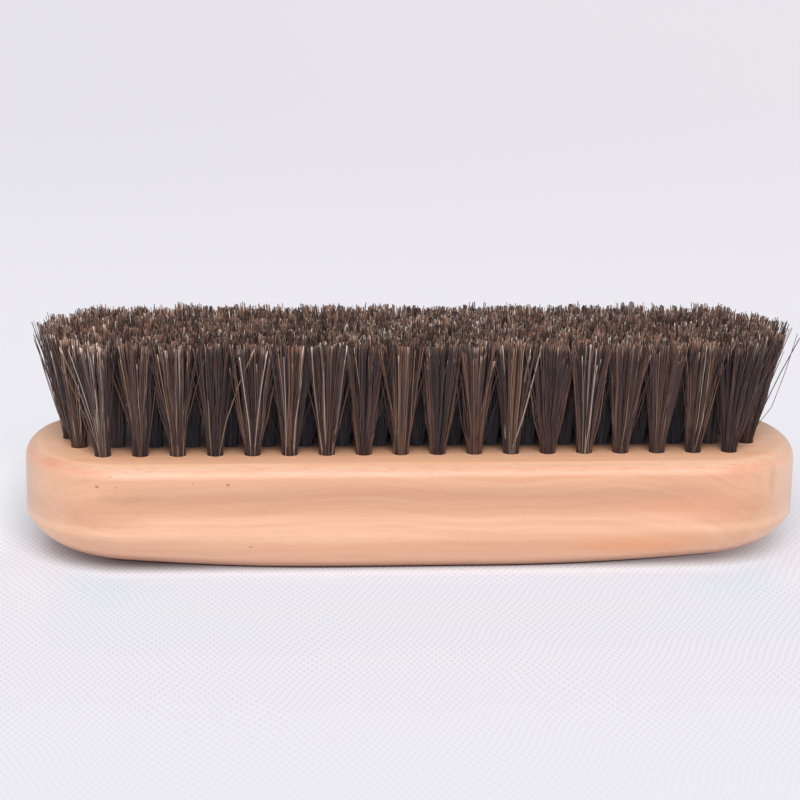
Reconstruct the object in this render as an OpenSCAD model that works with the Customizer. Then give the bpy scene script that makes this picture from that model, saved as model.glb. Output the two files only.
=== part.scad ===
// Shoe shine brush lying on its wooden back with the bristles up.
// Origin on the surface it lies on, at the middle of the block. X runs along the block, Z is up.
// The hair is set the way a filling machine sets it: each tuft is folded over a piece of flat wire,
// and the wire is driven to the bottom of a blind hole, where its two ends bite into the wood.
// A row of tufts is one solid, held together by a hidden slice of the wood under its holes.

/* [Block] */
// Length of the wooden block
block_length = 170; // [150:1:200]
// Width of the wooden block
block_width = 50; // [46:0.5:60]
// Height from the flat of the back to the drilled face
block_height = 25; // [22:0.5:32]
// Radius of the bowed ends in plan
end_radius = 34; // [30:1:60]
// Radius of the four plan corners
corner_radius = 21; // [16:0.5:22]
// Radius of the edge round the drilled face
face_edge_radius = 3.6; // [1:0.1:5]

/* [Back] */
// Height of the ridge where the sides turn under to the back
ridge_height = 10; // [7:0.5:12]
// How far the sides draw in from the ridge to the back
side_turn_under = 8.8; // [4:0.2:11]
// How far the ends draw in from the ridge to the back
end_turn_under = 6.6; // [3:0.2:11]
// Squareness of the turn under, where 2 is an ellipse and 1 a flat chamfer
turn_under_shape = 1.45; // [1.2:0.05:2.4]
// Length of the flat in the middle of the back
rest_length = 30; // [16:1:60]
// Radius of the lengthwise curve of the back, past its flat
back_radius = 544; // [400:10:1200]

/* [Finger grooves] */
// Depth of the finger groove along each side
groove_depth = 1.4; // [0.4:0.1:2.4]
// Overall length of each finger groove
groove_length = 150; // [90:1:156]
// Length over which a groove runs out at each end
groove_runout = 20; // [8:1:30]

/* [Tuft holes] */
// Diameter of a drilled hole
hole_diameter = 3.6; // [3:0.1:4.4]
// Depth of a drilled hole below the face
hole_depth = 12; // [9:0.5:13]
// Spacing of the tufts that the number of tufts in the middle row is worked out from
tuft_pitch = 7.9; // [7:0.1:9]
// Distance from the block's side to the centres of the outer rows
side_offset = 10.4; // [9:0.1:12]
// Distance from the block's end to the end tufts of the middle row
tuft_end_offset = 9.8; // [9:0.1:14]
// Distance from the block's end to the end tufts of the two rows beside the middle row
inner_end_offset = 11.8; // [11:0.1:18]
// Distance from the block's end to the end tufts of the two outer rows
outer_end_offset = 17; // [16:0.1:24]

/* [Hair] */
// Free length of the hair above the face
hair_length = 25; // [16:0.5:32]
// Height above the face at which a tuft begins to open
tuft_neck = 1.6; // [0.8:0.1:3]
// Gap all round between a tuft, or the slice that holds it, and the wood
tuft_clearance = 0.05; // [0.02:0.01:0.12]
// Overhang of the tips of the end tufts, lengthwise
end_overhang = 2.4; // [0:0.1:4]
// Overhang of the tips of the outer rows, sideways
side_overhang = 1.8; // [0:0.1:3]
// Width of a strand at its root
strand_root = 1.05; // [0.7:0.05:1.15]
// Gap between neighbouring strands at the tips
strand_gap = 0.9; // [0.5:0.05:1.4]
// Unevenness of the trimmed tips
trim_unevenness = 0.9; // [0:0.1:2]
// Width of the slice of wood that holds a row of tufts together
slice_width = 2.4; // [1.6:0.1:2.8]
// Thickness of that slice
slice_thickness = 1.4; // [1:0.1:2]
// How far the slice reaches up into the feet of the tufts
slice_overlap = 0.5; // [0.3:0.05:0.8]

/* [Anchors] */
// Width of the flat anchor wire, which stands upright in the hole
anchor_width = 1.8; // [1.2:0.1:2.4]
// Thickness of the flat anchor wire
anchor_thickness = 0.35; // [0.25:0.05:0.5]
// How far each end of an anchor bites into the wood
anchor_bite = 0.4; // [0.2:0.05:0.6]
// Thickness of the folded hair under an anchor
fold_thickness = 1.4; // [1:0.1:2]
// Gap all round between an anchor and the hair or wood that holds it
anchor_clearance = 0.02; // [0.01:0.01:0.05]

/* [Hidden] */

half_length = block_length / 2;
half_width = block_width / 2;
cut_overrun = 1;

// The plan outline is a bowed end, a corner and a straight side, all tangent to each other.
end_centre_x = half_length - end_radius;
corner_centre_y = half_width - corner_radius;
corner_centre_x = end_centre_x + sqrt(pow(end_radius - corner_radius, 2) - pow(corner_centre_y, 2));
corner_start_angle = atan2(corner_centre_y, corner_centre_x - end_centre_x);

// Steps in which the outline and the profile are taken
end_steps = 5;
corner_steps = 11;
side_steps = 8;
turn_under_steps = 7;
groove_steps = 12;
face_edge_steps = 5;

function mix(a, b, share) = a + (b - a) * share;

// The straight side has stations from its corner to the end of the back's flat, and one in the middle.
function side_x(step) =
  step == side_steps ? 0 : mix(corner_centre_x, rest_length / 2, step / (side_steps - 1));

// Each station of a quarter of the outline is a centre, a radius and an angle about that centre.
quarter_stations = [
  for (i = [0:end_steps - 1]) [end_centre_x, 0, end_radius, corner_start_angle * i / end_steps],
  for (i = [0:corner_steps])
    [corner_centre_x, corner_centre_y, corner_radius,
      corner_start_angle + (90 - corner_start_angle) * i / corner_steps],
  for (i = [1:side_steps]) [side_x(i), corner_centre_y, corner_radius, 90]
];
last_station = len(quarter_stations) - 1;

// Stations once round the block, each with the signs of its quarter
stations = [
  for (i = [0:last_station]) [quarter_stations[i], 1, 1],
  for (i = [1:last_station]) [quarter_stations[last_station - i], -1, 1],
  for (i = [1:last_station]) [quarter_stations[i], -1, -1],
  for (i = [1:last_station - 1]) [quarter_stations[last_station - i], 1, -1]
];
ring_count = len(stations);

function smooth_step(t) = let (u = min(max(t, 0), 1)) u * u * (3 - 2 * u);

function plan_point(station, inset) =
  let (arc = station[0])
  [
    station[1] * (arc[0] + (arc[2] - inset) * cos(arc[3])),
    station[2] * (arc[1] + (arc[2] - inset) * sin(arc[3]))
  ];

// Rise of the back towards the ends, past its flat
function back_rise(x) = pow(max(abs(x) - rest_length / 2, 0), 2) / (2 * back_radius);

// The profile from the back up to the face, as three runs of ring points
function turn_under_ring(angle) = [
  for (station = stations)
    let (
      reach = side_turn_under * pow(sin(station[0][3]), 2) + end_turn_under * pow(cos(station[0][3]), 2),
      drawn_in = reach * (1 - pow(cos(angle), 2 / turn_under_shape)),
      point = plan_point(station, drawn_in),
      low = back_rise(point[0])
    )
    [point[0], point[1], low + (ridge_height - low) * (1 - pow(sin(angle), 2 / turn_under_shape))]
];

groove_top = block_height - face_edge_radius;
function groove_ring(share) = [
  for (station = stations)
    let (
      x = abs(plan_point(station, 0)[0]),
      depth = groove_depth * smooth_step((groove_length / 2 - x) / groove_runout),
      point = plan_point(station, depth * pow(sin(180 * share), 2))
    )
    [point[0], point[1], ridge_height + (groove_top - ridge_height) * share]
];

function face_edge_ring(angle) = [
  for (station = stations)
    let (point = plan_point(station, face_edge_radius * (1 - cos(angle))))
    [point[0], point[1], groove_top + face_edge_radius * sin(angle)]
];

block_rings = [
  for (i = [0:turn_under_steps - 1]) turn_under_ring(90 * (1 - i / turn_under_steps)),
  for (i = [0:groove_steps]) groove_ring(i / groove_steps),
  for (i = [1:face_edge_steps]) face_edge_ring(90 * i / face_edge_steps)
];

// Two triangles between each pair of neighbouring stations of one ring and the next
function band_faces(ring) = [
  for (i = [0:ring_count - 1])
    let (
      here = ring * ring_count + i,
      next = ring * ring_count + (i + 1) % ring_count
    )
    each [[here, here + ring_count, next + ring_count], [here, next + ring_count, next]]
];

// The back is a ladder of strips across the block, so that its curve stays a true cylinder.
half_ring = ring_count / 2;
function across(i) = (ring_count - i) % ring_count;
back_faces = [
  for (i = [0:half_ring - 1]) each [
    [i, i + 1, across(i)],
    [i + 1, across(i + 1), across(i)]
  ]
];
// The strips at the two ends come to a point, which leaves one triangle each.
back_triangles = [for (f = back_faces) if (f[0] != f[1] && f[1] != f[2] && f[0] != f[2]) f];

face_ring = (len(block_rings) - 1) * ring_count;
block_faces = [
  for (ring = [0:len(block_rings) - 2]) each band_faces(ring),
  each back_triangles,
  [for (i = [ring_count - 1:-1:0]) face_ring + i]
];

// The five rows lie evenly between the sides, and each row has one tuft less than its inner neighbour.
row_count = 5;
middle_row = (row_count + 1) / 2;
row_spacing = (block_width - 2 * side_offset) / (row_count - 1);
middle_tufts = round((block_length - 2 * tuft_end_offset) / tuft_pitch) + 1;
end_offsets = [tuft_end_offset, inner_end_offset, outer_end_offset];
function row_y(row) = (row - middle_row) * row_spacing;
function row_tufts(row) = middle_tufts - abs(row - middle_row);
function row_span(row) = block_length - 2 * end_offsets[abs(row - middle_row)];
function row_pitch(row) = row_span(row) / (row_tufts(row) - 1);
function tuft_places(row) = [
  for (i = [0:row_tufts(row) - 1]) [i * row_pitch(row) - row_span(row) / 2, row_y(row)]
];

hole_floor = block_height - hole_depth;
slice_floor = hole_floor + slice_overlap - slice_thickness;
anchor_floor = hole_floor + fold_thickness;
anchor_length = hole_diameter + 2 * anchor_bite;
tuft_diameter = hole_diameter - 2 * tuft_clearance;
bore_fn = 48;

// Corners of a square of half side 1, in turn. A tuft has a strand at each, and a strand a side between each.
corners = [[-1, -1], [1, -1], [1, 1], [-1, 1]];
corner_count = len(corners);

// A strand leaves its tuft here, with a little of it inside the tuft.
strand_foot = block_height + tuft_neck;
strand_overlap = 0.5;
tip_height = block_height + hair_length;
// The root ends of a tuft's four strands stand this far from its axis, each way.
root_gap = 0.2;
root_offset = (strand_root + root_gap) / 2;
// Shares of a strand's height and of its spread at the bend where it turns outwards
bend_height_share = 0.45;
bend_spread_share = 0.36;

// Lean of a tuft at the tips, which grows towards the ends and the sides
function lean(place) = [
  end_overhang * pow(place[0] / (half_length - tuft_end_offset), 3),
  side_overhang * place[1] / (half_width - side_offset)
];

// One strand of four sides, from its root over the bend to its trimmed tip
module strand(root, tip, tip_size, top) {
  root_size = [strand_root, strand_root];
  bend = mix(root, tip, bend_spread_share);
  bend_size = mix(root_size, tip_size, bend_spread_share);
  levels = [
    [root, root_size, strand_foot - strand_overlap],
    [bend, bend_size, mix(strand_foot, top, bend_height_share)],
    [tip, tip_size, top]
  ];
  points = [
    for (level = levels, corner = corners)
      [
        level[0][0] + corner[0] * level[1][0] / 2,
        level[0][1] + corner[1] * level[1][1] / 2,
        level[2]
      ]
  ];
  sides = [
    for (level = [0, 1], i = [0:corner_count - 1])
      let (
        here = level * corner_count + i,
        next = level * corner_count + (i + 1) % corner_count
      )
      each [[here, here + corner_count, next + corner_count], [here, next + corner_count, next]]
  ];
  last_point = len(points) - 1;
  root_face = [for (i = [0:corner_count - 1]) i];
  tip_face = [for (i = [0:corner_count - 1]) last_point - i];
  polyhedron(points, [each sides, root_face, tip_face]);
}

// One tuft: the folded hair packed in its hole round the anchor, and its four strands
module tuft(place, cell, seed) {
  translate([place[0], place[1], 0]) {
    difference() {
      translate([0, 0, hole_floor])
        cylinder(h = strand_foot - hole_floor, d = tuft_diameter, $fn = bore_fn);
      anchor_bar(anchor_clearance);
    }
    heights = rands(0, trim_unevenness, corner_count, seed);
    for (i = [0:corner_count - 1])
      strand(
        corners[i] * root_offset,
        lean(place) + [corners[i][0] * cell[0], corners[i][1] * cell[1]] / 4,
        cell / 2 - [strand_gap, strand_gap],
        tip_height - (i == seed % corner_count ? 0 : heights[i])
      );
  }
}

// The slice of wood along the bottom of a row of holes, grown on all sides by a gap
module slice(row, gap) {
  translate([-row_span(row) / 2 - gap, row_y(row) - slice_width / 2 - gap, slice_floor - gap])
    cube([row_span(row) + 2 * gap, slice_width + 2 * gap, slice_thickness + 2 * gap]);
}

// The flat wire across one hole, grown on all sides by a gap
module anchor_bar(gap) {
  translate([-anchor_thickness / 2 - gap, -anchor_length / 2 - gap, anchor_floor - gap])
    cube([anchor_thickness + 2 * gap, anchor_length + 2 * gap, anchor_width + 2 * gap]);
}

module tuft_row(row) {
  color([0.26, 0.19, 0.16]) {
    for (i = [0:row_tufts(row) - 1])
      tuft(tuft_places(row)[i], [row_pitch(row), row_spacing], 100 * row + i);
    slice(row, 0);
  }
}

module anchor_row(row) {
  color([0.72, 0.72, 0.70])
    for (place = tuft_places(row))
      translate([place[0], place[1], 0])
        anchor_bar(0);
}

module block() {
  color([0.93, 0.74, 0.58])
    difference() {
      polyhedron([for (ring = block_rings) each ring], block_faces);
      for (row = [1:row_count]) slice(row, tuft_clearance);
      for (row = [1:row_count], place = tuft_places(row))
        translate([place[0], place[1], 0]) {
          translate([0, 0, hole_floor])
            cylinder(h = hole_depth + cut_overrun, d = hole_diameter, $fn = bore_fn);
          anchor_bar(anchor_clearance);
        }
    }
}

block();
tuft_row(1);  // tuft_row_1
tuft_row(2);  // tuft_row_2
tuft_row(3);  // tuft_row_3
tuft_row(4);  // tuft_row_4
tuft_row(5);  // tuft_row_5
anchor_row(1);  // anchor_row_1
anchor_row(2);  // anchor_row_2
anchor_row(3);  // anchor_row_3
anchor_row(4);  // anchor_row_4
anchor_row(5);  // anchor_row_5
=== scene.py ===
import math

import bmesh
import bpy
import numpy as np
from mathutils import Matrix, Vector


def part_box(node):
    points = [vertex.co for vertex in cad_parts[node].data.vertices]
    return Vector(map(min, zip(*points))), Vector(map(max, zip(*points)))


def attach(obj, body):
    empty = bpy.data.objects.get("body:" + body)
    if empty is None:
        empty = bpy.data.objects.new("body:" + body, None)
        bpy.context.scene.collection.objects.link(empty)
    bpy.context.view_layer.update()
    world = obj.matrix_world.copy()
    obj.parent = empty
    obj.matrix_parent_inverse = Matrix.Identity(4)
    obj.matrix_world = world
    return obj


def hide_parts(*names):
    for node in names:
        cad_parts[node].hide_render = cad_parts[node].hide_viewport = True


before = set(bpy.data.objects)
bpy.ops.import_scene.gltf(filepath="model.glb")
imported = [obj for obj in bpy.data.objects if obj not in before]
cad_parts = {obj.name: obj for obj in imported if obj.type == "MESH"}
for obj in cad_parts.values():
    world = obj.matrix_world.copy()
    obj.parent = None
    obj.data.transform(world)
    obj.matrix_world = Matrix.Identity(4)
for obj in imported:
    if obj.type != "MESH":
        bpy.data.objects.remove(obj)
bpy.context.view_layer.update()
MM = 0.001

# Camera
# A long lens stands low in front of the brush, a little to the left of its middle, and its level
# is tipped by one degree.
EYE = Vector((-56.26, -571.45, 183.88)) * MM
AIM = Vector((-3.0, 0.0, 33.0)) * MM
LEVEL_TIP = math.radians(1.035)

lens = bpy.data.cameras.new("camera")
lens.sensor_width = 36
lens.lens = 121.05
lens.clip_end = 20
camera = bpy.data.objects.new("camera", lens)
turn = (AIM - EYE).to_track_quat("-Z", "Y").to_matrix().to_4x4()
camera.matrix_world = Matrix.Translation(EYE) @ turn @ Matrix.Rotation(LEVEL_TIP, 4, "Z")
bpy.context.scene.collection.objects.link(camera)
bpy.context.scene.camera = camera
bpy.context.scene.view_settings.view_transform = "Standard"


# Studio
# The brush lies on a wide pale cloth in a white tent, which the world stands for. Most of the light
# comes through the tent from high up in front, and some from low down in front.
class Signal:
    """What comes out of a shader node. Sums, products and powers of signals add Math nodes."""

    def __init__(self, tree, socket=None):
        self.tree = tree
        self.socket = socket

    def node(self, kind, settings, sockets, output=0):
        made = self.tree.nodes.new("ShaderNode" + kind)
        for name, value in settings.items():
            if name == "stops":
                set_stops(made.color_ramp, value)
            else:
                setattr(made, name, value)
        for name, value in sockets.items():
            if isinstance(value, Signal):
                self.tree.links.new(value.socket, made.inputs[name])
            else:
                made.inputs[name].default_value = value
        return Signal(self.tree, made.outputs[output] if made.outputs else None)

    def math(self, operation, *others):
        return self.node("Math", {"operation": operation}, dict(enumerate((self, *others))))

    def vector(self, operation, *others, output="Vector"):
        values = dict(enumerate((self, *others)))
        return self.node("VectorMath", {"operation": operation}, values, output=output)

    def __add__(self, other):
        return self.math("ADD", other)

    def __sub__(self, other):
        return self.math("SUBTRACT", other)

    def __rsub__(self, other):
        return self.math("MULTIPLY", -1.0).math("ADD", other)

    def __mul__(self, other):
        return self.math("MULTIPLY", other)

    def __pow__(self, other):
        return self.math("POWER", other)

    def __abs__(self):
        return self.math("ABSOLUTE")

    __radd__ = __add__
    __rmul__ = __mul__

    def past(self, start):
        """How far it is past the start, and 0 before it."""
        return (self - start).math("MAXIMUM", 0.0)

    def between(self, low, high):
        """Runs smoothly from 0 at low to 1 at high."""
        settings = {"interpolation_type": "SMOOTHSTEP"}
        return self.node("MapRange", settings, {"Value": self, "From Min": low, "From Max": high})

    def fading(self, low, high):
        """Runs smoothly from 1 at low to 0 at high."""
        return 1.0 - self.between(low, high)

    def stretched(self, factors):
        """A place with each of its axes multiplied by a factor."""
        return self.vector("MULTIPLY", factors)

    def noise(self, scale, detail, roughness=0.5):
        values = {"Vector": self, "Scale": scale, "Detail": detail, "Roughness": roughness}
        return self.node("TexNoise", {"noise_dimensions": "3D"}, values)

    def axis(self, name):
        return self.node("SeparateXYZ", {}, {"Vector": self}, output=name)

    def ramp(self, stops):
        return self.node("ValToRGB", {"stops": stops}, {"Fac": self})

    def painted(self, share, colour, blend="MIX"):
        """This colour, covered with another one by a share, or multiplied by it as a glaze."""
        settings = {"data_type": "RGBA", "blend_type": blend}
        return self.node("Mix", settings, {0: share, 6: self, 7: colour}, output=2)


def set_stops(color_ramp, stops):
    for extra in stops[2:]:
        color_ramp.elements.new(extra[0])
    for element, (place, colour) in zip(color_ramp.elements, stops):
        element.position = place
        element.color = colour


def new_material(name):
    """A material with an empty node tree, and a signal to start its nodes from."""
    material = bpy.data.materials.new(name)
    material.use_nodes = True
    material.node_tree.nodes.clear()
    return material, Signal(material.node_tree)


def place_in_mm(start):
    """The place on the brush, in millimetres."""
    place = start.node("TexCoord", {}, {}, output="Object")
    return place.stretched((1000, 1000, 1000))


def new_piece(name, mesh, material):
    piece = bpy.data.objects.new(name, mesh)
    bpy.context.scene.collection.objects.link(piece)
    piece.data.materials.clear()
    piece.data.materials.append(material)
    return piece


CLOTH_NEAR = (0.798, 0.781, 0.826, 1)
CLOTH_FAR = (0.752, 0.718, 0.758, 1)
CLOTH_FAR_LEFT = (0.95, 0.96, 0.985, 1)
CLOTH_REACH = 6.0
DIMPLE_COLOUR = (0.59, 0.58, 0.625, 1)
DIMPLE_WAVES = 4.2, 2.0  # radians per millimetre, along the brush and away from it
STRAIGHT_PART = 62.0  # half the length over which the edge of the back is nearly straight
REST_LENGTH = 30.0
BACK_RADIUS = 544.0
LINE_OF_SIGHT = 3.05  # millimetres along the cloth for each one up, as the camera looks under it
DEEP_SHADE = (0.30, 0.24, 0.24, 1)


def rise_of_back(x):
    """How high the back of the brush stands over the cloth, where x is its place along it."""
    return abs(x).past(REST_LENGTH / 2) ** 2 * (0.5 / BACK_RADIUS)


cloth_material, start = new_material("cloth")
cloth_place = place_in_mm(start)
x, y = cloth_place.axis("X"), cloth_place.axis("Y")
cloth_colour = y.between(-60, 700).ramp([(0, CLOTH_NEAR), (1, CLOTH_FAR)])

# The cloth is a fine mesh with staggered dimples, which are plain to see close to the brush only.
waver = cloth_place.stretched((0.02, 0.02, 0.02)).noise(1.0, 2) * 14.0
along, away = DIMPLE_WAVES
dimples = ((x + waver) * along).math("SINE") * (y * away + waver).math("SINE")
near = y.between(-190, -60) * y.fading(-20, 60)
cloth_colour = cloth_colour.painted(dimples.between(0.1, 0.9) * near * 0.65, DIMPLE_COLOUR)

# Close to the brush painted light lifts the cloth's shadow, and a little further out a painted
# cool shade cancels the warm light that comes back from the wood.
# The stops are at distances from the middle line of the back, in units of 100 mm.
past_end = abs(x).past(STRAIGHT_PART)
from_brush = (past_end ** 2 + y ** 2) ** 0.5
near_light_and_shade = (from_brush * 0.01).ramp([
    (0.15, (1.10, 1.20, 1.18, 1)),
    (0.19, (1.00, 1.08, 1.11, 1)),
    (0.24, (0.835, 0.92, 0.99, 1)),
    (0.30, (0.83, 0.917, 0.967, 1)),
    (0.45, (0.923, 0.967, 0.978, 1)),
    (0.75, (1.0, 1.0, 1.0, 1)),
])
cloth_colour = cloth_colour.painted(1.0 - past_end.between(6, 24) * 0.75, near_light_and_shade, "MULTIPLY")
# Painted light lifts the cloth's shadow just past the left end of the brush.
left_end_light = x.between(-125, -100) * x.fading(-94, -84) * y.between(-15, 8) * y.fading(45, 90)
cloth_colour = cloth_colour.painted(left_end_light, (1.13, 1.145, 1.10, 1), "MULTIPLY")
# Painted shade darkens the far cloth towards the left.
far_left_shade = y.between(150, 700) * x.fading(-350, 350)
cloth_colour = cloth_colour.painted(far_left_shade, CLOTH_FAR_LEFT, "MULTIPLY")

# A painted glow in the cloth lifts its shadows near the brush. Under the brush a painted contact
# shadow keeps it dark, up to a line that follows the rise of the back.
hidden = rise_of_back(abs(x).math("MINIMUM", STRAIGHT_PART)) * LINE_OF_SIGHT
contact_shadow = (from_brush + hidden).fading(16.8, 17.7) * abs(x).fading(60, 72)
cloth_colour = cloth_colour.painted(contact_shadow * 0.8, DEEP_SHADE, "MULTIPLY")
painted_glow = (from_brush * 0.01).ramp([
    (0.160, (0.135, 0.131, 0.141, 1)),
    (0.200, (0.100, 0.115, 0.125, 1)),
    (0.260, (0.066, 0.074, 0.08, 1)),
])
# The painted glow is left out by the left end, where the shadow stays dark.
dark_end = x.fading(-STRAIGHT_PART, -35) * from_brush.fading(16, 22)
painted_glow = painted_glow.painted(dark_end, (0.02, 0.02, 0.025, 1))
painted_glow = painted_glow.painted(contact_shadow, (0.0, 0.0, 0.0, 1))
cloth_shader = start.node("BsdfPrincipled", {}, {
    "Base Color": cloth_colour,
    "Roughness": 1.0,
    "Specular IOR Level": 0.0,
    "Emission Color": painted_glow,
    "Emission Strength": 1.0,
})
start.node("OutputMaterial", {}, {"Surface": cloth_shader})

sheet = bmesh.new()
bmesh.ops.create_grid(sheet, x_segments=8, y_segments=8, size=CLOTH_REACH)
cloth_mesh = bpy.data.meshes.new("cloth")
sheet.to_mesh(cloth_mesh)
sheet.free()
cloth = new_piece("cloth", cloth_mesh, cloth_material)

TENT_COLOUR = (0.93, 0.95, 1.0, 1)
TENT_STRENGTH = 0.27
world = bpy.data.worlds.new("tent")
world.use_nodes = True
tent = world.node_tree.nodes["Background"]
tent.inputs["Color"].default_value = TENT_COLOUR
tent.inputs["Strength"].default_value = TENT_STRENGTH
bpy.context.scene.world = world


def soft_light(name, azimuth, elevation, spread, strength, colour):
    """A far, wide light. Azimuth 0 is in front of the brush and 90 to its right."""
    light = bpy.data.lights.new(name, "SUN")
    light.energy = strength
    light.angle = math.radians(spread)
    light.color = colour
    lamp = bpy.data.objects.new(name, light)
    flat, up = math.radians(azimuth), math.radians(elevation)
    way = Vector((math.sin(flat) * math.cos(up), -math.cos(flat) * math.cos(up), math.sin(up)))
    lamp.rotation_euler = (-way).to_track_quat("-Z", "Y").to_euler()
    bpy.context.scene.collection.objects.link(lamp)


soft_light("tent_front", 0, 45, 42, 2.75, (1.0, 0.995, 0.98))
soft_light("tent_right", 78, 14, 50, 0.50, (1.0, 0.99, 0.98))
soft_light("tent_left", -70, 26, 50, 0.60, (1.0, 0.99, 0.98))

# Block
# One piece of pale hardwood, shaped, sanded and lacquered: bowed ends, round plan corners, a
# finger groove along both sides and a curved back that touches the table in its middle.
HALF_LENGTH, HALF_WIDTH, BLOCK_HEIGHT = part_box("block")[1] / MM
END_RADIUS = 34.0
CORNER_RADIUS = 21.0
FACE_EDGE_RADIUS = 3.6
RIDGE_HEIGHT = 10.0
SIDE_TURN_UNDER = 8.8
END_TURN_UNDER = 6.6
TURN_UNDER_POWER = 2 / 1.45
GROOVE_DEPTH = 1.4
GROOVE_LENGTH = 150.0
GROOVE_RUNOUT = 20.0
BACK_SPINE = 56.0
END_STEPS = 10
CORNER_STEPS = 22
SIDE_STEPS = 24
FACE_EDGE_STEPS = 10
GROOVE_STEPS = 18
TURN_UNDER_STEPS = 14
BACK_STEPS = 6
MERGE_DISTANCE = 0.001
SHARP_ANGLE = math.radians(35)

END_CENTRE = HALF_LENGTH - END_RADIUS
CORNER_Y = HALF_WIDTH - CORNER_RADIUS
CORNER_X = END_CENTRE + math.sqrt((END_RADIUS - CORNER_RADIUS) ** 2 - CORNER_Y ** 2)
END_ANGLE = math.atan2(CORNER_Y, CORNER_X - END_CENTRE)
GROOVE_TOP = BLOCK_HEIGHT - FACE_EDGE_RADIUS


def smooth_step(t):
    t = min(max(t, 0.0), 1.0)
    return t * t * (3 - 2 * t)


def inwards(point):
    """The way from a point of the outline to the centre of its arc, as a unit vector."""
    across = math.copysign(1, point.x), math.copysign(1, point.y)
    x, y = abs(point.x), abs(point.y)
    if math.atan2(y, x - END_CENTRE) <= END_ANGLE:
        centre = Vector((END_CENTRE, 0, 0))
    else:
        centre = Vector((min(x, CORNER_X), CORNER_Y, 0))
    way = (centre - Vector((x, y, 0))).normalized()
    return Vector((way.x * across[0], way.y * across[1], 0))


def back_height(x):
    """The same rise as on the cloth, in numbers."""
    return max(abs(x) - REST_LENGTH / 2, 0) ** 2 / (2 * BACK_RADIUS)


def on_face_edge(point, share):
    angle = share * math.pi / 2
    inset = FACE_EDGE_RADIUS * (1 - math.cos(angle))
    height = GROOVE_TOP + FACE_EDGE_RADIUS * math.sin(angle)
    return point + inwards(point) * inset + Vector((0, 0, height))


def on_groove(point, share):
    run_out = smooth_step((GROOVE_LENGTH / 2 - abs(point.x)) / GROOVE_RUNOUT)
    depth = GROOVE_DEPTH * run_out * math.sin(math.pi * share) ** 2
    height = RIDGE_HEIGHT + (GROOVE_TOP - RIDGE_HEIGHT) * share
    return point + inwards(point) * depth + Vector((0, 0, height))


def on_turn_under(point, share):
    """Share 0 is the ridge and 1 the edge of the back."""
    angle = share * math.pi / 2
    way = inwards(point)
    reach = SIDE_TURN_UNDER * way.y ** 2 + END_TURN_UNDER * way.x ** 2
    placed = point + way * reach * (1 - max(math.cos(angle), 0) ** TURN_UNDER_POWER)
    low = back_height(placed.x)
    placed.z = low + (RIDGE_HEIGHT - low) * (1 - math.sin(angle) ** TURN_UNDER_POWER)
    return placed


def on_back(point, share):
    """Share 0 is the edge of the back and 1 its middle line."""
    edge = on_turn_under(point, 1)
    spine = Vector((min(max(edge.x, -BACK_SPINE), BACK_SPINE), 0, 0))
    placed = edge.lerp(spine, share)
    placed.z = back_height(placed.x)
    return placed


block = bmesh.new()
outline_layer = block.verts.layers.float_vector.new("outline")
first = block.verts.new((HALF_LENGTH, 0, 0))
side_end = [first]
for centre, angle, steps in (
    ((END_CENTRE, 0, 0), END_ANGLE, END_STEPS),
    ((CORNER_X, CORNER_Y, 0), math.pi / 2 - END_ANGLE, CORNER_STEPS),
):
    arc = bmesh.ops.spin(block, geom=side_end, cent=centre, axis=(0, 0, 1), angle=angle,
                         steps=steps, use_merge=False, use_duplicate=False)
    side_end = [v for v in arc["geom_last"] if isinstance(v, bmesh.types.BMVert)]
for step in range(SIDE_STEPS):
    grown = bmesh.ops.extrude_vert_indiv(block, verts=side_end)
    side_end = grown["verts"]
    side_end[0].co.x = CORNER_X * (1 - (step + 1) / SIDE_STEPS)
for axis in ("X", "Y"):
    halves = block.verts[:] + block.edges[:]
    bmesh.ops.mirror(block, geom=halves, axis=axis, merge_dist=MERGE_DISTANCE)
bmesh.ops.remove_doubles(block, verts=block.verts[:], dist=MERGE_DISTANCE)
for vert in block.verts:
    vert[outline_layer] = vert.co.copy()

# The outline is the first ring, and each further ring is extruded from the last one, from the
# face down to the back.
levels = [(on_face_edge, 1 - step / FACE_EDGE_STEPS) for step in range(FACE_EDGE_STEPS)]
levels += [(on_groove, 1 - step / GROOVE_STEPS) for step in range(GROOVE_STEPS)]
levels += [(on_turn_under, step / TURN_UNDER_STEPS) for step in range(TURN_UNDER_STEPS)]
levels += [(on_back, step / BACK_STEPS) for step in range(BACK_STEPS + 1)]
face_ring = ring = block.edges[:]
for vert in block.verts:
    vert.co = on_face_edge(vert[outline_layer], 1)
for form, share in levels[1:]:
    grown = bmesh.ops.extrude_edge_only(block, edges=ring)
    ring = [g for g in grown["geom"] if isinstance(g, bmesh.types.BMEdge)]
    for vert in (g for g in grown["geom"] if isinstance(g, bmesh.types.BMVert)):
        vert.co = form(vert[outline_layer], share)
bmesh.ops.contextual_create(block, geom=face_ring)
bmesh.ops.remove_doubles(block, verts=block.verts[:], dist=MERGE_DISTANCE)
bmesh.ops.dissolve_degenerate(block, edges=block.edges[:], dist=MERGE_DISTANCE / 10)
bmesh.ops.recalc_face_normals(block, faces=block.faces[:])

# The holes and the bites of the anchors are cut where the frame's anchors stand.
HOLE_RADIUS = 1.8
HOLE_DEPTH = 12.0
HOLE_SIDES = 28
DRILL_OVERRUN = 2.0
ANCHOR_GAP = 0.02
ROWS = range(1, 6)
anchor_boxes = {row: [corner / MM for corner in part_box(f"anchor_row_{row}")] for row in ROWS}


def anchor_sides(row):
    """The left and right side of each anchor of a row, from left to right."""
    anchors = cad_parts[f"anchor_row_{row}"].data
    sides = sorted({round(v.co.x / MM, 3) for v in anchors.vertices})
    return list(zip(sides[::2], sides[1::2]))


def tuft_places(row):
    """The middles of a row's anchors, which stand in the middles of its holes."""
    low, high = anchor_boxes[row]
    return [Vector(((a + b) / 2, (low.y + high.y) / 2, 0)) for a, b in anchor_sides(row)]


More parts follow.
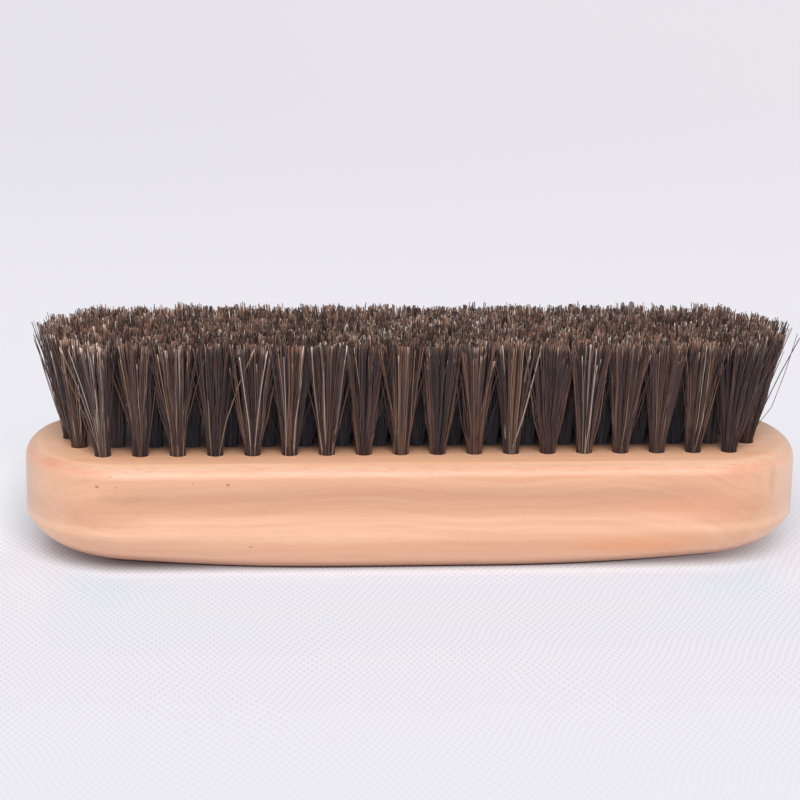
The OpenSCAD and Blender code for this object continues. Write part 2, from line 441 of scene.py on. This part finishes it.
def new_mesh(name, form):
    """A mesh in metres from a form in millimetres."""
    bmesh.ops.scale(form, vec=(MM, MM, MM), verts=form.verts[:])
    mesh = bpy.data.meshes.new(name)
    form.to_mesh(mesh)
    form.free()
    return mesh


drills = bmesh.new()
bites = bmesh.new()
for row in ROWS:
    low, high = anchor_boxes[row]
    left, right = anchor_sides(row)[0]
    wire = Vector((right - left, high.y - low.y, high.z - low.z))
    size = wire + Vector((2, 2, 2)) * ANCHOR_GAP
    for place in tuft_places(row):
        middle = Vector((place.x, place.y, BLOCK_HEIGHT + (DRILL_OVERRUN - HOLE_DEPTH) / 2))
        bmesh.ops.create_cone(drills, cap_ends=True, segments=HOLE_SIDES, radius1=HOLE_RADIUS,
                              radius2=HOLE_RADIUS, depth=HOLE_DEPTH + DRILL_OVERRUN,
                              matrix=Matrix.Translation(middle))
        middle.z = (low.z + high.z) / 2
        bite = Matrix.Translation(middle) @ Matrix.Diagonal((*size, 1))
        bmesh.ops.create_cube(bites, size=1, matrix=bite)


def cut(piece, name, cutter_form):
    """Cuts the cutter's form out of the piece for good."""
    cutter = bpy.data.objects.new(name, new_mesh(name, cutter_form))
    bpy.context.scene.collection.objects.link(cutter)
    tool = piece.modifiers.new(name, "BOOLEAN")
    tool.operation = "DIFFERENCE"
    tool.solver = "EXACT"
    tool.object = cutter
    depsgraph = bpy.context.evaluated_depsgraph_get()
    finished = bpy.data.meshes.new_from_object(piece.evaluated_get(depsgraph))
    piece.modifiers.clear()
    piece.data = finished
    bpy.data.objects.remove(cutter)


wood, start = new_material("lacquered_wood")
place = place_in_mm(start)
x, y, z = (place.axis(name) for name in "XYZ")

# The grain runs along the block, wavers a little, and bends down in arcs at the right end.
arcs = x.past(42.0) ** 2 * 0.011
waver = place.stretched((0.022, 0.05, 0.05)).noise(1.0, 2)
grain = start.node("CombineXYZ", {}, {"X": x, "Y": y, "Z": z + arcs + waver * 9.0})
broad = grain.stretched((0.018, 0.22, 0.30)).noise(1.0, 4, 0.6)
bands = grain.stretched((0.010, 0.7, 0.9)).noise(1.0, 4, 0.6)
lines = grain.stretched((0.035, 2.6, 2.6)).noise(1.0, 3, 0.6)
fibres = place.stretched((0.4, 7.0, 7.0)).noise(1.0, 2, 0.6)

PALE_WOOD = (0.84, 0.500, 0.330, 1)
WARM_WOOD = (0.73, 0.385, 0.235, 1)
tone = broad * 0.47 + bands * 0.45 + lines * 0.08
wood_colour = tone.ramp([(0.34, PALE_WOOD), (0.68, WARM_WOOD)])

# Rosy and brown clouds in the wood, each with its middle, its half lengths and its strength
CLOUDS = [
    ((-78, -16, 24.6), (6, 6, 2.4), (0.72, 0.26, 0.14, 1), 0.8),
    ((-64, -25, 18), (9, 9, 1.3), (0.62, 0.33, 0.20, 1), 0.5),
    ((47, -20, 6.5), (19, 20, 3.5), (0.84, 0.39, 0.20, 1), 0.75),
    ((76.6, -18, 19.4), (1.2, 6, 5.2), (0.50, 0.28, 0.19, 1), 0.5),
    ((58, -22, 15), (16, 12, 3.5), (0.85, 0.42, 0.25, 1), 0.45),
    ((-20, -25, 9), (40, 9, 1.6), (0.93, 0.58, 0.40, 1), 0.4),
    ((30, 22, 14), (26, 9, 3.0), (0.78, 0.36, 0.21, 1), 0.5),
    ((-10, 0, 0), (40, 9, 6.0), (0.80, 0.38, 0.22, 1), 0.45),
]
ragged = place.stretched((0.25, 0.6, 0.6)).noise(1.0, 3)
for middle, half_lengths, colour, strength in CLOUDS:
    away = place.vector("SUBTRACT", middle).vector("DIVIDE", half_lengths)
    far = away.vector("LENGTH", output="Value")
    inside = (far + (ragged - 0.5) * 1.1).fading(0.25, 1.1)
    wood_colour = wood_colour.painted(inside * strength, colour)

# Short reddish vessel lines, thickest along the front edge of the face
edge = z.between(22.4, 24.2)
vessels = place.stretched((0.22, 3.4, 3.4)).noise(1.0, 2, 0.7)
vessels = (vessels + edge * 0.05).between(0.58, 0.70) * (0.15 + edge * 0.4)
wood_colour = wood_colour.painted(vessels, (0.66, 0.24, 0.13, 1))
wood_colour = wood_colour.painted(fibres.between(0.52, 0.80) * 0.22, (0.60, 0.30, 0.18, 1))

# Single dark specks, each with its middle, its radius and its strength
SPECK_COLOUR = (0.36, 0.14, 0.07, 1)
SPECK_STRETCH = (0.7, 0.3, 1)
SPECKS = [
    ((-69.1, -24.1, 20.8), 0.28, 0.75),
    ((-41.5, -25, 21.2), 0.25, 0.8),
    ((-36.6, -24, 7.0), 0.27, 0.5),
    ((-48.9, -25, 21.5), 0.22, 0.35),
    ((-66.3, -24.6, 23.0), 0.25, 0.35),
    ((-65.1, -24.8, 20.8), 0.25, 0.3),
    ((18.0, 25, 16.0), 0.3, 0.7),
    ((-30.0, 25, 8.0), 0.3, 0.7),
    ((12.0, 5, 0.3), 0.35, 0.7),
]
for middle, radius, strength in SPECKS:
    away = place.vector("SUBTRACT", middle).stretched(SPECK_STRETCH)
    speck = away.vector("LENGTH", output="Value").fading(radius * 0.5, radius * 1.5)
    wood_colour = wood_colour.painted(speck * strength, SPECK_COLOUR)

# From the back to the face, as a share of the height, painted light and shade: pale below the
# ridge, darker in the groove, and a cooler painted highlight at the edge of the face
height_light_and_shade = (z * (1 / BLOCK_HEIGHT)).ramp([
    (0.10, (1.08, 1.01, 0.93, 1)),
    (0.30, (1.08, 1.02, 0.95, 1)),
    (0.41, (0.97, 0.97, 0.98, 1)),
    (0.44, (0.95, 0.96, 0.965, 1)),
    (0.48, (0.84, 0.80, 0.785, 1)),
    (0.58, (0.78, 0.72, 0.70, 1)),
    (0.66, (0.83, 0.785, 0.765, 1)),
    (0.72, (0.885, 0.84, 0.81, 1)),
    (0.82, (0.90, 0.87, 0.84, 1)),
    (0.89, (0.86, 0.80, 0.78, 1)),
    (0.945, (0.93, 0.81, 0.80, 1)),
    (0.98, (0.98, 1.08, 1.16, 1)),
])
wood_colour = wood_colour.painted(1.0, height_light_and_shade, "MULTIPLY")

# Painted shade darkens the rim of the back, where it meets the table.
contact_shade = (z - rise_of_back(x)).fading(0.4, 3.2)
wood_colour = wood_colour.painted(contact_shade * 0.8, (0.40, 0.26, 0.21, 1), "MULTIPLY")

# The face is painted paler and more orange, partly its own tone and partly painted light. It shows
# long reddish lines, and between the tufts it is darkened by painted shade.
on_face = z.between(24.5, 25.0)
wood_colour = wood_colour.painted(on_face * 0.9, (1.0, 0.565, 0.355, 1))
streaks = place.stretched((0.018, 1.3, 0.1)).noise(1.0, 3, 0.65).between(0.50, 0.64)
streaks = streaks * z.between(23.9, 24.6)
wood_colour = wood_colour.painted(streaks * 0.6, (0.85, 0.40, 0.22, 1))
# The ends are painted paler and greyer: partly their end grain, partly a painted reflection of the
# pale tent, and more at the right end as painted light.
ends = abs(x).between(72.0, 84.0)
wood_colour = wood_colour.painted(ends * (0.48 + x * 0.0018), (0.88, 0.61, 0.46, 1))
# Painted shade on the face between the tufts, darkest deep in the field
within = abs(x).fading(62, 74)
for near_side, far_side, colour in (
    (9.5, 18.5, (0.42, 0.20, 0.11, 1)),
    (7.0, 12.0, (0.07, 0.050, 0.048, 1)),
):
    field_shade = abs(y).fading(near_side, far_side) * within * z.between(24.5, 24.9)
    wood_colour = wood_colour.painted(field_shade * 0.88, colour)

surface = lines * 0.5 + fibres * 0.5
bump = start.node("Bump", {}, {"Strength": 0.10, "Distance": 0.0004, "Height": surface})
wood_shader = start.node("BsdfPrincipled", {}, {
    "Base Color": wood_colour,
    "Roughness": 0.40 + bands * 0.12,
    "Coat Weight": 0.35,
    "Coat Roughness": 0.32,
    "Normal": bump,
})
start.node("OutputMaterial", {}, {"Surface": wood_shader})

for facet in block.faces:
    facet.smooth = True
brush_block = new_piece("wooden_block", new_mesh("wooden_block", block), wood)
cut(brush_block, "drills", drills)
cut(brush_block, "bites", bites)
brush_block.data.set_sharp_from_angle(angle=SHARP_ANGLE)
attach(brush_block, "root")
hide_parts("block")

# Anchors
# Short lengths of flat drawn steel wire, driven on edge through the folded hair, so that their
# ends bite into the walls of the holes. The frame's own anchors are shown.
anchor_wire, start = new_material("drawn_wire")
drawn = place_in_mm(start).stretched((6.0, 0.4, 6.0)).noise(1.0, 3)
wire_colour = drawn.ramp([(0.3, (0.42, 0.42, 0.41, 1)), (0.7, (0.66, 0.66, 0.64, 1))])
wire_bump = start.node("Bump", {}, {"Strength": 0.2, "Distance": 0.00002, "Height": drawn})
wire_shader = start.node("BsdfPrincipled", {}, {
    "Base Color": wire_colour,
    "Metallic": 1.0,
    "Roughness": 0.3 + drawn * 0.2,
    "Normal": wire_bump,
})
start.node("OutputMaterial", {}, {"Surface": wire_shader})
for row in ROWS:
    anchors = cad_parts[f"anchor_row_{row}"]
    for slot in anchors.material_slots:
        slot.material = anchor_wire

# Hair
# Horsehair in five staggered rows of tufts. Every hair is folded once round its anchor, stands
# up on both sides of it, opens out of the hole to fill its share of the field, and is trimmed.
FOLDED_HAIRS = 150
HAIR_LENGTH = 25.0
TUFT_RADIUS = 1.66
SPREAD = 1.12
WIRE_CLEARANCE = 0.3
NECK = 0.7
ANCHOR_TOP = 16.4
END_LEAN = 2.4
SIDE_LEAN = 1.8
MIDDLE_SPAN = 75.2
OUTER_ROW = 14.6
TIP_HEIGHT = BLOCK_HEIGHT + HAIR_LENGTH
FOLD_GAP = 0.15
FOLD_PILE = 1.0
GOLDEN_ANGLE = math.pi * (3 - math.sqrt(5))
SEED = 100
# How the tips are scattered, trimmed and in part left short
TIP_REACH = 83.4
TIP_SCATTER = 0.64
TRIM_DEPTH = 0.15
TRIM_SCATTER = 0.33
TUFT_TRIM_SCATTER = 0.2
SHORT_SHARE = 0.22
SHORTEST = 4.0
# How hairs bend outwards and sway on their way up, and how stray ones leave their lock
POINTS_UP = (0.0, 0.3, 0.65, 1.0)
BEND = 1.15
BEND_SCATTER = 0.35
BEND_LIMITS = 0.6, 2.2
KINKED_SHARE = 0.35
KINKED_SWAY = 1.4
PLAIN_SWAY = 0.7
STRAY_SHARE = 0.14
STRAY_SCATTER = (2.4, 1.8)
STRAY_SWAY = 0.4
STRAY_BEND = 1.4
# How many locks a leg of a tuft has, and how much its hairs share with the lock's leader
LOCKS = 26
LOCK_PULL = 0.70
BEND_PULL = 0.7
SWAY_PULL = 0.6
# The kinds of hair by their place on the palette, and their shares
HAIR_MAP = "OFBake"
KINDS = (0.06, 0.18, 0.30, 0.42, 0.54, 0.66, 0.78, 0.92)
SHARES = (0.19, 0.18, 0.16, 0.14, 0.12, 0.10, 0.065, 0.045)
PALE_KINDS = 0.7
KIND_WIDTH = 0.02
KIND_SCATTER = 0.025
TUFT_LEANING = 0.45
FOLLOWING_SHARE = 0.58
SIDE_START = 0.72
DARK_SIDE_SHARE = 0.5
HAIR_THICKNESS = 0.094
THICKNESS_SCATTER = 0.012
PALE_EXTRA = 0.025


def half_disc(count):
    """Evenly spread places over the right half of a disc of radius 1."""
    steps = np.arange(count)
    radius = np.sqrt((steps + 0.5) / count)
    angle = (steps * GOLDEN_ANGLE) % math.pi - math.pi / 2
    return np.stack([radius * np.cos(angle), radius * np.sin(angle)], -1)


def disc_to_square(spots):
    """Carries places in a disc of radius 1 to a square of half side 1."""
    x, y = spots[:, 0], spots[:, 1]
    root = 2 * math.sqrt(2)
    oblong = x * x - y * y
    sides = []
    for part, along in ((oblong, x), (-oblong, y)):
        plus, minus = 2 + part + root * along, 2 + part - root * along
        sides.append(np.sqrt(np.maximum(plus, 0)) - np.sqrt(np.maximum(minus, 0)))
    return np.stack(sides, -1) / 2


def legs(chance, feet, roots, place, cell, leaders):
    """One leg of each folded hair, from above the anchor to its tip: 5 points each."""
    count = len(roots)
    lean = np.array([END_LEAN * (place.x / MIDDLE_SPAN) ** 3, SIDE_LEAN * place.y / OUTER_ROW])
    spread = disc_to_square(roots / TUFT_RADIUS) * cell * SPREAD / 2
    tips = lean + spread + chance.normal(0, TIP_SCATTER, (count, 2))
    heights = TIP_HEIGHT - TRIM_DEPTH + chance.normal(0, TRIM_SCATTER, count)
    heights += chance.normal(0, TUFT_TRIM_SCATTER)
    bend = np.clip(chance.normal(BEND, BEND_SCATTER, count), *BEND_LIMITS)
    most_sway = np.where(chance.random(count) < KINKED_SHARE, KINKED_SWAY, PLAIN_SWAY)
    sways = chance.normal(0, 1, (count, 3, 2)) * most_sway[:, None, None]
    stray = chance.random(count) < STRAY_SHARE
    pulls = (tips, LOCK_PULL), (heights, LOCK_PULL), (bend, BEND_PULL), (sways, SWAY_PULL)
    for shape, pull in pulls:
        shape += (shape[leaders] - shape) * pull
    tips[stray] += chance.normal(0, STRAY_SCATTER, (stray.sum(), 2))
    sways[stray] *= STRAY_SWAY
    bend[stray] = np.minimum(bend[stray], STRAY_BEND)
    reach = TIP_REACH - place.x, TIP_REACH + place.x
    tips[:, 0] = np.clip(tips[:, 0], -reach[1], reach[0])
    short = chance.random(count) < SHORT_SHARE
    heights[short] -= chance.random(short.sum()) * SHORTEST
    points = np.zeros((count, 5, 3))
    points[:, 0, :2] = feet
    points[:, 0, 2] = ANCHOR_TOP
    neck_height = BLOCK_HEIGHT + NECK
    for step, share in enumerate(POINTS_UP):
        out = share ** bend
        sway = sways[:, step - 1] * share * (1 - share)
        points[:, step + 1, :2] = roots + (tips - roots) * out[:, None] + sway
        points[:, step + 1, 2] = neck_height + (heights - neck_height) * share
    points[:, :, 0] += place.x
    points[:, :, 1] += place.y
    return points


def lock_leaders(chance, roots):
    """For each hair the one that its lock gathers round: the nearest of a few chosen ones."""
    chosen = chance.choice(len(roots), LOCKS, replace=False)
    apart = np.linalg.norm(roots[:, None] - roots[chosen][None], axis=-1)
    return chosen[apart.argmin(axis=1)]


def folded_hairs(chance, place, cell, anchor_floor, leaders):
    """The hairs of one tuft: up one leg, under the anchor and up the other, 11 points each."""
    roots = half_disc(FOLDED_HAIRS) * TUFT_RADIUS
    feet = roots * (1 - WIRE_CLEARANCE / TUFT_RADIUS, 1) + (WIRE_CLEARANCE, 0)
    left_legs = legs(chance, feet * (-1, 1), roots * (-1, 1), place, cell, leaders)
    right_legs = legs(chance, feet, roots, place, cell, leaders)
    folds = np.zeros((FOLDED_HAIRS, 1, 3))
    folds[:, 0, 0] = place.x
    folds[:, 0, 1] = place.y + feet[:, 1]
    folds[:, 0, 2] = anchor_floor - FOLD_GAP - FOLD_PILE * feet[:, 0] / TUFT_RADIUS
    return np.concatenate([left_legs[:, ::-1], folds, right_legs], axis=1)


def hair_shades(chance, leaders):
    """Where each hair lies on the palette. A lock is partly of one kind, a tuft leans to some
    kinds, and its sides are mostly of the darkest kind, as painted shade between the tufts."""
    count = len(leaders)
    shares = np.array(SHARES) * np.exp(chance.normal(0, TUFT_LEANING, len(SHARES)))
    kinds = chance.choice(KINDS, count, p=shares / shares.sum())
    follows = (chance.random(count) < FOLLOWING_SHARE) & (kinds[leaders] < PALE_KINDS)
    kinds = np.where(follows, kinds[leaders], kinds)
    at_side = half_disc(count)[:, 0] > SIDE_START
    kinds[at_side & (chance.random(count) < DARK_SIDE_SHARE)] = KINDS[0]
    return np.clip(kinds + chance.normal(0, KIND_SCATTER, count), 0.0, 1 - KIND_WIDTH)


three_sides = bpy.data.curves.new("hair_section", "CURVE")
section = three_sides.splines.new("POLY")
section.points.add(2)
for corner, point in enumerate(section.points):
    angle = math.tau * corner / 3
    point.co = (math.cos(angle), math.sin(angle), 0, 1)
section.use_cyclic_u = True
hair_section = bpy.data.objects.new("hair_section", three_sides)
bpy.context.scene.collection.objects.link(hair_section)

hair, start = new_material("horsehair")
strand_map = start.node("UVMap", {"uv_map": HAIR_MAP}, {})
shade, height = strand_map.axis("X"), strand_map.axis("Y")
body_colour = shade.ramp([
    (0.06, (0.050, 0.036, 0.038, 1)),
    (0.18, (0.074, 0.046, 0.045, 1)),
    (0.30, (0.101, 0.057, 0.051, 1)),
    (0.42, (0.130, 0.074, 0.060, 1)),
    (0.54, (0.170, 0.090, 0.063, 1)),
    (0.66, (0.235, 0.117, 0.073, 1)),
    (0.78, (0.280, 0.192, 0.145, 1)),
    (0.92, (0.450, 0.370, 0.315, 1)),
])
# The cut ends are painted lighter where they catch the light. Painted shade darkens them in patches
# where locks turn away, and they are lighter at the left end.
end_colour = shade.ramp([
    (0.06, (0.059, 0.039, 0.035, 1)),
    (0.18, (0.353, 0.219, 0.177, 1)),
    (0.30, (0.077, 0.046, 0.042, 1)),
    (0.42, (0.556, 0.369, 0.284, 1)),
    (0.54, (0.246, 0.134, 0.103, 1)),
    (0.66, (0.460, 0.201, 0.128, 1)),
    (0.78, (0.728, 0.556, 0.449, 1)),
    (0.92, (0.942, 0.867, 0.781, 1)),
])
hair_place = place_in_mm(start)
tip_shade_patch = hair_place.stretched((0.34, 0.34, 0.0)).noise(1.0, 2, 0.6)
end_colour = end_colour.painted(tip_shade_patch.between(0.46, 0.60) * 0.6, (0.048, 0.032, 0.030, 1))
left_tips = hair_place.axis("X").fading(-74, -56)
end_colour = end_colour.painted(left_tips, (1.3, 1.28, 1.28, 1), "MULTIPLY")
uneven = hair_place.stretched((1.3, 1.3, 0.08)).noise(1.0, 1) - 0.5
hair_colour = body_colour.painted((height + uneven * 0.1).between(0.955, 0.990), end_colour)

# Painted shade: deep between the tufts the hair is painted almost black, and it is painted darker
# at the feet of the tufts.
inner_shade = abs(hair_place.axis("Y")).fading(9.5, 13.5) * abs(hair_place.axis("X")).fading(62, 70)
low = hair_place.axis("Z").fading(29, 43)
hair_colour = hair_colour.painted(inner_shade * low * 0.88, (0.058, 0.067, 0.090, 1))
feet = hair_place.axis("Z").fading(25.5, 35)
hair_colour = hair_colour.painted(feet * 0.6, (0.62, 0.60, 0.64, 1), "MULTIPLY")
hair_shader = start.node("BsdfPrincipled", {}, {
    "Base Color": hair_colour,
    "Roughness": 0.45 + shade * 0.1,
})
start.node("OutputMaterial", {}, {"Surface": hair_shader})

row_spacing = tuft_places(2)[0].y - tuft_places(1)[0].y
for row in ROWS:
    places = tuft_places(row)
    cell = np.array([places[1].x - places[0].x, row_spacing])
    anchor_floor = anchor_boxes[row][0].z
    chance = np.random.default_rng(SEED + row)
    leaders = [lock_leaders(chance, half_disc(FOLDED_HAIRS)) for place in places]
    hairs = np.concatenate([
        folded_hairs(chance, place, cell, anchor_floor, lead)
        for place, lead in zip(places, leaders)
    ])
    shades = np.concatenate([hair_shades(chance, lead) for lead in leaders])
    count, length = hairs.shape[:2]
    curve = bpy.data.curves.new(f"hair_row_{row}", "CURVE")
    curve.dimensions = "3D"
    curve.bevel_mode = "OBJECT"
    curve.bevel_object = hair_section
    curve.use_fill_caps = True
    thickness = chance.normal(HAIR_THICKNESS, THICKNESS_SCATTER, count)
    thickness = (thickness + PALE_EXTRA * (shades > PALE_KINDS)) * MM
    for points, radius in zip(hairs, thickness):
        spline = curve.splines.new("POLY")
        spline.points.add(length - 1)
        spline.points.foreach_set("co", np.c_[points * MM, np.ones(length)].ravel())
        spline.points.foreach_set("radius", np.full(length, radius))
    strung = bpy.data.objects.new(f"hair_row_{row}", curve)
    bpy.context.scene.collection.objects.link(strung)
    depsgraph = bpy.context.evaluated_depsgraph_get()
    mesh = bpy.data.meshes.new_from_object(strung.evaluated_get(depsgraph))
    bpy.data.objects.remove(strung)

    # The mesh holds the end caps of all hairs, last hair first, and then the hairs ring by ring.
    side_shift = np.array([0, 1, 0.5]) * KIND_WIDTH
    middle = (length - 1) / 2
    ring_height = np.abs(np.arange(length) - middle) / middle
    cap_u = shades[::-1, None] + np.tile(side_shift, 2)
    cap_v = np.tile([1, 1, 0.98], (count, 2))
    side_u = shades[:, None, None] + np.tile(side_shift, (length, 1))
    side_v = np.tile(ring_height[:, None], (count, 1, 3))
    spots = np.stack([
        np.concatenate([cap_u.ravel(), side_u.ravel()]),
        np.concatenate([cap_v.ravel(), side_v.ravel()]),
    ], -1)
    while mesh.uv_layers:
        mesh.uv_layers.remove(mesh.uv_layers[0])
    corners = np.zeros(len(mesh.loops), int)
    mesh.loops.foreach_get("vertex_index", corners)
    mesh.uv_layers.new(name=HAIR_MAP).data.foreach_set("uv", spots[corners].ravel())
    piece = new_piece(f"hair_row_{row}", mesh, hair)
    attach(piece, "root")
    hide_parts(f"tuft_row_{row}")
bpy.data.objects.remove(hair_section)
